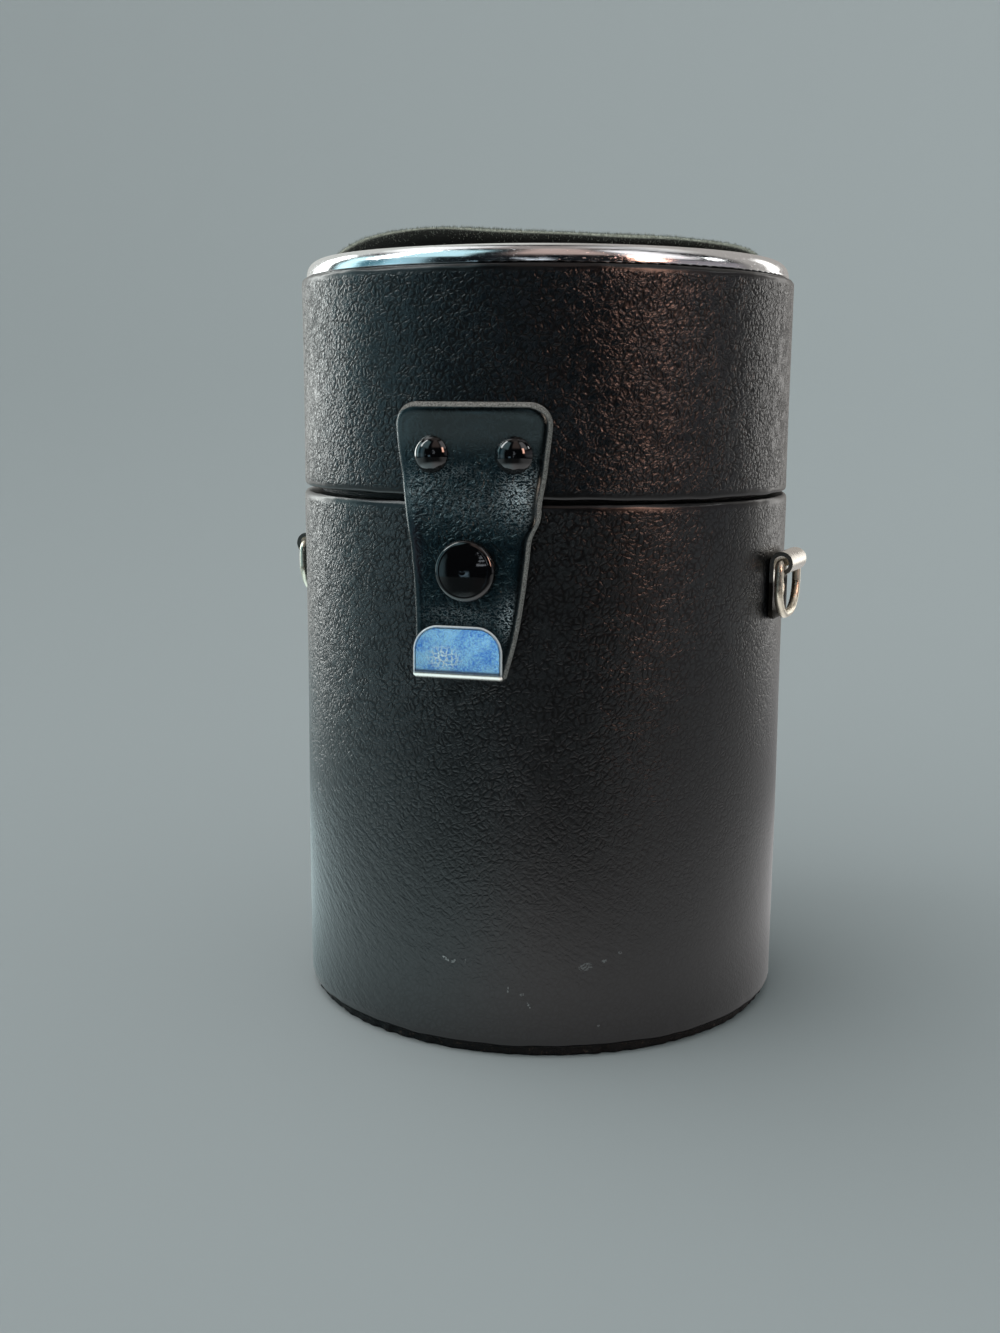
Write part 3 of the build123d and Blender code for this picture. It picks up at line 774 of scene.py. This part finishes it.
# Height and x along the tab's sides
tab_left = [
    (82.9, -11.3), (93.1, -11.1), (98.9, -11.3), (104.7, -11.7), (111.3, -12.5), (116.5, -13.9),
    (120.9, -15.3), (128.2, -16.8), (137.8, -17.6),
]
tab_right = [
    (82.9, 7.9), (91.2, 10.1), (99.4, 11.5), (106.6, 12.4), (111.2, 13.0), (114.4, 14.3), (118.0, 14.2),
    (125.2, 14.8), (132.7, 15.6), (137.8, 16.0),
]
# Width of the raw edge that shows at the left, the right and the top
raw_left, raw_right, raw_top = 0.15, 0.5, 1.0
# Painted highlight spots and reddish spots: x, height, half width, half height and weight
painted_highlight_spots = [
    (10.3, 120.3, 3.4, 4.6, 1.0), (9.2, 95.2, 2.0, 3.6, 0.9), (-11.0, 122.0, 4.0, 3.0, 0.3),
    (0.0, 118.0, 9.0, 4.0, 0.14), (-1.0, 95.6, 8.0, 1.8, 0.25), (-4.0, 124.0, 5.0, 1.6, 0.2),
]
blush_spots = [(-11.6, 106.5, 1.7, 6.5, 0.85)]


def tab_sides(height):
    return curve_through(tab_left, height), curve_through(tab_right, height)


def tab_edges(height, whole=False):
    """Left and right edge of the tab at a height, drawn in at its rounded top corners."""
    left, right = tab_sides(height)
    tuck = 0 if whole else corner_tuck(tab_corner, height - (tab_top_z - tab_corner))
    return float(left) + tuck, float(right) - tuck


def tab_distance(x, height):
    return edge_distance(x, height, *tab_sides(height), tab_top_z, tab_corner)


def tab_place(x, height, depth):
    """Point of the tab, which follows the lid at its rivets and stands off flat at the snap."""
    release = smooth_step((tab_lift_top_z - height) / (tab_lift_top_z - tab_lift_low_z))
    lean = -tab_lean * np.maximum(tab_lean_start_z - height, 0) / (tab_lean_start_z - tab_tip_z)
    bend = tab_inner / np.maximum(1 - release, 0.02)
    sag = bend - np.sqrt(bend ** 2 - (x - lean) ** 2)
    back = -(tab_inner + (flap_inner - tab_inner) * release) + sag
    return np.stack([x, back - depth, height], axis=-1)


def tab_depth(distance, x, height):
    depth = rounded_edge(distance, tab_thickness, 1.7, 0.8)
    crease = 0.1 * bell(distance, 2.5, 0.3) * smooth_step(height, 128, 133)
    folds = 0.07 * np.sin((height + 0.16 * x) * 2.0) * bell(height, 119.5, 3.5)
    pillow = 0.22 * spots(x, height, [(10.0, 118.0, 3.6, 3.2, 1.0)])
    return depth - crease + (folds + pillow) * smooth_step(distance, 1.0, 4.0)


def tab_painted(x, height, distance):
    """Where the tab is raw, grained, pale, reddish and lit by painted highlights."""
    left, right = tab_sides(height)
    near = [np.exp(-(x - left) / 0.8), np.exp(-(right - x) / 0.8), np.exp(-(tab_top_z - height) / 0.8)]
    raw = raw_left * near[0] + raw_right * near[1] + raw_top * near[2]
    raw = raw / np.maximum(sum(near), 1e-9)
    smooth = smooth_step(height, 126.5, 132.5)
    deeper = 0.75 + 0.5 * spots(x, height, [(0, 118, 30, 7, 1)])
    grained = (1 - 0.86 * smooth) * smooth_step(distance, 1.2, 2.8) * deeper
    return {
        "rim": (distance - raw, -1.0),
        "grained": (grained, 0.0),
        # Paler towards the smooth top: partly the leather's own tone, partly a painted reflection.
        "pale": (0.9 * smooth_step(height, 125.5, 132.0), 0.0),
        "blush": (spots(x, height, blush_spots), 0.0),
        "worn": (spots(x, height, painted_highlight_spots), 0.0),
    }


corner_turn = np.radians(np.linspace(0, 90, 16))
tab_heights = list(np.arange(tab_tip_z, tab_top_z - tab_corner, 0.5))
tab_heights += list(tab_top_z - tab_corner + tab_corner * np.sin(corner_turn))
tab = strip(
    "latch_strap", tab_heights, tab_edges, tab_place, tab_distance, 0.3, tab_depth, tab_painted,
    [strap_leather, suede],
)
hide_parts("latch_tab", "latch_flap")
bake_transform(tab)

hinge_half, hinge_low_z, hinge_top_z, hinge_corner = 15.0, 97.0, 139.4, 4.0
strap_thickness = 2.0


def hinge_edges(height, whole=False):
    past = max(height - (hinge_top_z - hinge_corner), hinge_low_z + hinge_corner - height)
    tuck = 0 if whole else corner_tuck(hinge_corner, past)
    return -hinge_half + tuck, hinge_half - tuck


def hinge_distance(x, height):
    return edge_distance(x, height, -hinge_half, hinge_half, hinge_top_z, hinge_corner, hinge_low_z)


def hinge_place(x, height, depth):
    out = np.sqrt((tab_inner + depth) ** 2 - x ** 2)
    return np.stack([x, out, height], axis=-1)


def hinge_depth(distance, x, height):
    depth = rounded_edge(distance, strap_thickness, 1.6, 0.6)
    crease = 0.1 * bell(distance, 2.5, 0.3)
    fold = 0.35 * bell(height, seam_z, 1.3) * smooth_step(distance, 0.3, 2.5)
    return depth - crease - fold


def hinge_painted(x, height, distance):
    grained = (0.55 + 0.45 * bell(height, seam_z, 8)) * smooth_step(distance, 1.2, 2.8)
    none = np.zeros_like(x)
    worn = spots(x, height, [(0, seam_z, 12, 1.6, 0.35)])
    return {"rim": (distance - 0.8, -1.0), "grained": (grained, 0.0), "pale": (none + 0.2, 0.0),
            "blush": (none, 0.0), "worn": (worn, 0.0)}


straight_low, straight_top = hinge_low_z + hinge_corner, hinge_top_z - hinge_corner
hinge_heights = list(straight_low - hinge_corner * np.sin(corner_turn[::-1]))
hinge_heights += list(np.arange(straight_low + 0.6, straight_top - 0.3, 0.6))
hinge_heights += list(straight_top + hinge_corner * np.sin(corner_turn))
hinge = strip(
    "hinge_strap", hinge_heights, hinge_edges, hinge_place, hinge_distance, 0.2, hinge_depth, hinge_painted,
    [strap_leather, suede], 1,
)
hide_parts("hinge_strap_lower", "hinge_strap_upper")
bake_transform(hinge)


# Clip on the end of the tab

clip_low, clip_high = span("tip_clip")
clip_front_y, clip_back_y = clip_low.y, clip_high.y
clip_left, clip_right = -11.2, 7.6
clip_top_z = 93.4
clip_sheet, clip_fold, clip_corner = 0.4, 1.3, 5.4
clip_front_run = clip_top_z - clip_low.z - clip_fold
clip_arc_run = clip_fold * math.pi / 2
clip_under_run = clip_back_y - clip_front_y - 2 * clip_fold
clip_back_run = clip_high.z - clip_low.z - clip_fold
clip_stops = np.cumsum([0, clip_front_run, clip_arc_run, clip_under_run, clip_arc_run, clip_back_run])


def clip_place(x, run_at, depth):
    """Point of the clip by how far down its front, round its fold and up its back it lies."""
    front_end, low_start, low_end, back_start = clip_stops[1:5]
    turn = np.clip((run_at - front_end) / clip_fold, 0, math.pi / 2)
    turn = turn + np.clip((run_at - low_end) / clip_fold, 0, math.pi / 2)
    down = np.clip(run_at, 0, front_end)
    under = np.clip(run_at - low_start, 0, clip_under_run)
    up = np.clip(run_at - back_start, 0, clip_back_run)
    centre_y = clip_front_y + clip_fold + under
    y = centre_y - (clip_fold - clip_sheet + depth) * np.cos(turn)
    z = np.where(turn < 1e-6, clip_top_z - down, clip_low.z + clip_fold + up)
    z = z - (clip_fold - clip_sheet + depth) * np.sin(turn)
    return np.stack([x, y, z], axis=-1)


def clip_edges(run_at, whole=False):
    tuck = 0 if whole else corner_tuck(clip_corner, clip_corner - run_at)
    return clip_left + tuck, clip_right - tuck


def clip_distance(x, run_at):
    return edge_distance(x, -run_at, clip_left, clip_right, 0.0, clip_corner)


def clip_depth(distance, x, run_at):
    return clip_sheet - 0.24 * (1 - smooth_step(distance, 0.0, 0.42))


def clip_painted(x, run_at, distance):
    """Where the clip has its painted highlights, along its outline and on its fold, and the dark line above
    the fold.
    """
    past_front = run_at - clip_stops[1]
    outline = (1 - smooth_step(distance, 0.22, 0.42)) * (1 - smooth_step(past_front, -0.4, 0.2))
    fold = smooth_step(past_front, -0.15, 0.1)
    line = bell(past_front, -0.3, 0.22)
    return {"outline": (outline, 0.0), "fold": (fold, 1.0), "line": (line, 0.0)}


clip_rows = list(clip_corner * (1 - np.cos(corner_turn)))
clip_rows += list(np.arange(clip_corner + 0.5, clip_stops[1] - 0.3, 0.5))
clip_rows += list(np.linspace(clip_stops[1], clip_stops[4], 20))
clip_rows += list(np.linspace(clip_stops[4], clip_stops[5], 8))[1:]
clip = strip(
    "tip_clip_plate", clip_rows, clip_edges, clip_place, clip_distance, 0.0, clip_depth, clip_painted,
    [clip_chrome],
)
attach(clip, "latch_flap")
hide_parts("tip_clip")


# Pads


def pad_profile(radius, low, shoulder, top, tuck):
    """Half section of a crowned pad, from its middle out to its side and back under."""
    rise = top - shoulder
    sphere = ((radius - tuck) ** 2 + rise ** 2) / (2 * rise)
    reach = np.linspace(0, radius - tuck - 1.2, 34)
    crown = [(r, top - sphere + math.sqrt(sphere ** 2 - r ** 2)) for r in reach]
    middle = (low + shoulder) / 2
    side = [(radius - 0.55, shoulder - 0.25), (radius - 0.12, shoulder - 0.8), (radius, middle)]
    side += [(radius - 0.2, low + 0.5), (radius - tuck, low)]
    return crown + side + [(0.0, low)]


def pad(name, profile, shape, material, replaced, body):
    made = lathe(name, profile, round_azimuths(2.5), shape, closed=False, merge=True)
    made.data.materials.append(material)
    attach(made, body)
    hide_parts(replaced)


top_low = span("top_pad")[0]
base_low, base_high = span("base_pad")
inner_low, inner_high = span("lid_pad")
camera_azimuth = 14.5

# Crown of the top pad: radius, level of its edge, and how full and how square-shouldered it is
crown_radius, crown_edge_z, crown_rise = 48.7, ring_high.z - 0.75, 4.75
crown_fullness, crown_shoulder = 2.35, 3.0


def crown_height(radius, azimuth):
    """Height of the pad's top, which stands highest at the left as the photograph's camera sees it."""
    share = np.clip(radius / crown_radius, 0, 1)
    level = crown_edge_z + crown_rise * (1 - share ** crown_fullness) ** (1 / crown_shoulder)
    sideways = radius * np.sin(np.radians(azimuth - camera_azimuth))
    ahead = radius * np.cos(np.radians(azimuth - camera_azimuth))
    swell = 2.96 * bell(sideways, -30.9, 24.3) + 0.022 * sideways
    dimples = 0.12 * np.sin(sideways * 0.21 + 1.0) * np.sin(ahead * 0.17 + 0.4)
    return level + smooth_step(level, crown_edge_z, crown_edge_z + 3.0) * (swell + dimples)


def top_shape(radius, height, azimuth):
    """Top pad: its flat crown lifted to its height."""
    return radius, np.where(height > crown_edge_z, crown_height(radius, azimuth), height)


def soft_shape(seed, upward):
    """Gentle dents in a pad's face."""
    def shape(radius, height, azimuth):
        dent = 0.3 * ripple(azimuth, 0.5 * radius, [1, 2, 3, 4, 6], seed) * smooth_step(radius, 0, 12)
        return radius, height + upward * np.where(radius < 48.5, dent - 0.3, 0)
    return shape


crown_reach = crown_radius * np.sin(np.radians(np.linspace(0, 90, 40)))
top_profile = [(radius, crown_edge_z + 1) for radius in crown_reach[:-1]]
top_profile += [(crown_radius, crown_edge_z), (crown_radius + 0.7, crown_edge_z - 0.5)]
top_profile += [(crown_radius + 0.6, top_low.z), (0.0, top_low.z)]
pad("top_cushion", top_profile, top_shape, pad_cloth, "top_pad", "lid")

# Angles of a fibre's three corners, in radians
spike_corners = (0.0, 2.094, 4.189)


def unit(vectors):
    """Rows scaled to a length of 1."""
    return vectors / np.maximum(np.linalg.norm(vectors, axis=1, keepdims=True), 1e-9)


def pile(name, count, length, thickness, seed):
    """Short stray fibres that stand up from the top pad, each a thin three-sided spike."""
    rng = np.random.default_rng(seed)
    radius = crown_radius * np.sqrt(rng.uniform(0, 1, count)) * 0.999
    azimuth = rng.uniform(-180, 180, count)
    step = 0.3

    def at(radius, azimuth):
        turn, height = np.radians(azimuth), crown_height(radius, azimuth)
        return np.stack([radius * np.sin(turn), -radius * np.cos(turn), height], axis=-1)

    foot = at(radius, azimuth)
    inward = at(np.maximum(radius - step, 0), azimuth) - foot
    aside = at(radius, azimuth + 1.0) - foot
    normal = np.cross(inward, aside)
    normal = unit(normal * np.sign(normal[:, 2:3]))
    way = unit(normal + rng.normal(0, 0.45, (count, 3)))
    cross = unit(np.cross(way, rng.normal(0, 1, (count, 3))))
    other = np.cross(way, cross)
    foot = foot - 0.1 * normal
    tip = foot + way * (length * rng.uniform(0.5, 1.0, (count, 1)))
    corners = [foot + thickness * (math.cos(a) * cross + math.sin(a) * other) for a in spike_corners]
    points = np.stack(corners + [tip], axis=1).reshape(-1, 3)
    first = 4 * np.arange(count)[:, None, None]
    faces = (first + np.array([[0, 1, 3], [1, 2, 3], [2, 0, 3], [2, 1, 0]])).reshape(-1, 3)
    made = finish_mesh(name, points, faces)
    made.data.materials.append(pile_cloth)
    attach(made, "lid")


pile("top_cushion_pile", 12000, 0.9, 0.055, 61)
base_profile = pad_profile(base_high.x, base_low.z, base_high.z - 2.4, base_high.z, 0.8)
pad("base_cushion", base_profile, soft_shape(31, 1), velvet, "base_pad", "case_body")
under = pad_profile(inner_high.x, -inner_high.z, -inner_low.z - 2.0, -inner_low.z, 0.8)
lid_profile = [(radius, -height) for radius, height in under]
pad("lid_cushion", lid_profile, soft_shape(41, -1), velvet, "lid_pad", "lid")


# Underside disc with a ragged rim

disc_low, disc_high = span("base_disc")
disc_radius, disc_base, disc_top = disc_high.x, disc_low.z, disc_high.z


def ragged(radius, height, azimuth):
    """Frayed rim of the disc."""
    rim = smooth_step(radius, disc_radius - 1.5, disc_radius - 0.3)
    rng = np.random.default_rng(5)
    counts = [int(n) for n in rng.integers(9, 130, 14)]
    fray = 0.22 * ripple(azimuth, 0.8 * height, counts, 51)
    return radius + rim * (fray - 0.15), height


disc_profile = [(radius, disc_base) for radius in (0, 20, 40, disc_radius - 1.6)]
disc_profile += arc((disc_radius - 0.5, disc_base + 0.5), 0.5, -90, 0, 4)
disc_profile += [(disc_radius, disc_base + 1.0), (disc_radius - 0.1, disc_base + 1.5)]
disc_profile += [(disc_radius, disc_top - 0.5), (disc_radius - 0.2, disc_top - 0.1)]
disc_profile += [(radius, disc_top) for radius in (disc_radius - 1.6, 30, 0)]
underside = lathe("underside_disc", disc_profile, round_azimuths(1.0), ragged, closed=False, merge=True)
underside.data.materials.append(base_skin)
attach(underside, "case_body")
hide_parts("base_disc")


# Stage, light and camera


def stage_object(name, profile, material, azimuths):
    made = lathe(name, profile, azimuths, closed=False, merge=True)
    made.data.materials.append(material)
    return made


studio = new_material("studio_paper", (0.5, 0.563, 0.572), 0.95, Specular_IOR_Level=0)[0]
bend_radius, bend_angle, sweep_reach = 900, 55 * 8 / 13, 4500
sweep = [(0, 0), (150, 0)] + arc((300, bend_radius), bend_radius, -90, bend_angle - 90, 9)
bend_end, bend_height = sweep[-1]
sweep += [(sweep_reach, bend_height + (sweep_reach - bend_end) * math.tan(math.radians(bend_angle)))]
backdrop = stage_object("studio_sweep", sweep, studio, round_azimuths(4))
backdrop.visible_glossy = False

# Ring of light on the floor that only glossy surfaces see, in place of the floor's own brightness
floor_light = bpy.data.materials.new("floor_light")
floor_light.use_nodes = True
tree = floor_light.node_tree
tree.nodes.clear()
flat = scaled(object_place(tree), (1, 1, 0))
across, ahead = part_of(flat, "X"), part_of(flat, "Y")
reach = length_of(flat)
beside = times_plus(ahead, 0.8, size_of(across))
far = range_of(beside, -80, 120, 0.07, 0.5)
# Dimmer close to the case: a painted contact shadow in the floor's reflection.
near = times(range_of(reach, 57, 100, 0.65, 1.2), range_of(across, -40, 110, 1.1, 0.72))
fade = range_of(reach, 140, 230)
glow = times_plus(near, minus(1, fade), times(far, fade))
hue = mix_of(range_of(across, -60, 40), (0.8, 1, 1.03), (1, 0.99, 0.99))
glow = joined("Emission", {"Color": hue, "Strength": glow})
joined("OutputMaterial", {"Surface": glow.outputs[0]})
floor_light.cycles.emission_sampling = "NONE"
floor_glow = stage_object("floor_glow", [(57, 0.2), (520, 0.2)], floor_light, round_azimuths(4))
for rays in ("camera", "diffuse", "shadow", "transmission"):
    setattr(floor_glow, "visible_" + rays, False)


def sun(name, bearing, elevation, spread, strength):
    """Soft light for the matt surfaces, from a bearing to the right of the photograph's camera."""
    azimuth, up = math.radians(camera_azimuth + bearing), math.radians(elevation)
    out = Vector((math.cos(up) * math.sin(azimuth), -math.cos(up) * math.cos(azimuth), math.sin(up)))
    lamp = bpy.data.lights.new(name, "SUN")
    lamp.angle = math.radians(spread)
    lamp.energy = strength
    made = bpy.data.objects.new(name, lamp)
    made.rotation_mode = "QUATERNION"
    made.rotation_quaternion = out.to_track_quat("Z", "Y")
    made.visible_glossy = False
    scene.collection.objects.link(made)


sun("key", -115, 60, 60, 0.75)
sun("front_fill", -45, 38, 70, 0.8)
sun("overhead", 20, 80, 110, 0.75)

# What the bright and glossy surfaces reflect: bearing to the right of the camera and elevation in degrees,
# half width, half height, softness of the edge, colour and strength
reflections = [
    (-152, 15, 26, 42, 8, (1, 1.02, 0.97), 0.6),
    (-133, 14, 7, 20, 3, (0.95, 1, 0.98), 6),
    (-108, 14, 8, 22, 5, (0.64, 0.95, 1), 1.45),
    (-92, 44, 6, 16, 3, (0.95, 1, 1), 9),
    (-62, 46, 22, 18, 5, (0.6, 0.92, 1), 1),
    (-70, 6, 12, 20, 4, (0.55, 0.88, 1), 0.58),
    (-88, 6, 20, 20, 8, (0.2, 0.65, 0.85), 0.26),
    (-125, 62, 26, 13, 6, (1, 1, 1), 1.1),
    (8, 57, 26, 20, 8, (1, 0.76, 0.68), 0.48),
    (48, 22, 5, 12, 3, (1, 0.55, 0.41), 17),
    (60, 46, 18, 20, 6, (1, 0.97, 0.98), 1.2),
    (78, 6, 24, 12, 6, (0.95, 0.88, 0.95), 0.3),
    (91, 30, 3, 5, 1.5, (1, 1, 1), 7),
    (136, 10, 7, 18, 4, (1, 0.98, 0.95), 1.9),
    (146, 20, 40, 42, 8, (1, 0.94, 0.88), 0.4),
    (122, 66, 30, 12, 6, (1, 1, 1), 0.5),
    (0, 88, 180, 14, 6, (1, 0.88, 0.82), 0.3),
    (-29, -9.3, 6, 3.4, 2.5, (0.55, 0.82, 1), 1.6),
    (108, -4, 45, 6, 3, (0.96, 1, 1), 0.2),
    (-112, -4, 45, 6, 3, (0.96, 1, 1), 0.2),
]
# Window blinds: bearing, elevation, half width and strength
for *place, strength in [(-5, 4, 6, 2), (-3, 9, 6, 1.8), (-4, 14, 5, 1.6), (-7, 19, 5, 1.4)]:
    reflections.append((*place, 1.1, 0.6, (0.85, 0.92, 1), strength))


def patch_of(direction, bearing, elevation, half_width, half_height, softness, tint, strength):
    """Light of one soft-edged patch."""
    turn = math.radians(camera_azimuth + bearing)
    ahead = vector_of("DOT_PRODUCT", direction, (math.sin(turn), -math.cos(turn), 0), "Value")
    aside = vector_of("DOT_PRODUCT", direction, (math.cos(turn), math.sin(turn), 0), "Value")
    offset = size_of(times(math_of("ARCTAN2", aside, ahead), math.degrees(1)))
    climb = size_of(times_plus(math_of("ARCSINE", part_of(direction, "Z")), math.degrees(1), -elevation))
    wide = range_of(offset, half_width - softness, half_width + softness, 1, 0)
    high = range_of(climb, half_height - softness, half_height + softness, strength, 0)
    return joined("VectorMath", {0: tint, "Scale": times(wide, high)}, operation="SCALE").outputs[0]


world = bpy.data.worlds.new("surroundings")
scene.world = world
world.use_nodes = True
tree = world.node_tree
direction = node(tree, "TexCoord").outputs["Generated"]
total = (0.006, 0.008, 0.01)
for row in reflections:
    total = vector_of("ADD", total, patch_of(direction, *row))
feed(tree.nodes["Background"], Color=total)
world.cycles_visibility.diffuse = False
scene.view_settings.view_transform = "Standard"


def turn_about(axis, degrees):
    return Matrix.Rotation(math.radians(degrees), 4, axis)


camera_distance, camera_height = 367.25, 138.64
camera_pitch, camera_yaw, camera_roll = 9.83, -1.6, 0.33
stand = Matrix.Translation(Vector((0, -camera_distance, camera_height)) * MM)
aim = turn_about("Z", -camera_yaw) @ turn_about("X", 90 - camera_pitch) @ turn_about("Z", camera_roll)
camera = bpy.data.objects.new("camera", bpy.data.cameras.new("camera"))
camera.data.lens = 41.914
camera.data.sensor_width = 36
camera.data.clip_start = 0.01
camera.matrix_world = turn_about("Z", camera_azimuth) @ stand @ aim
scene.collection.objects.link(camera)
scene.camera = camera
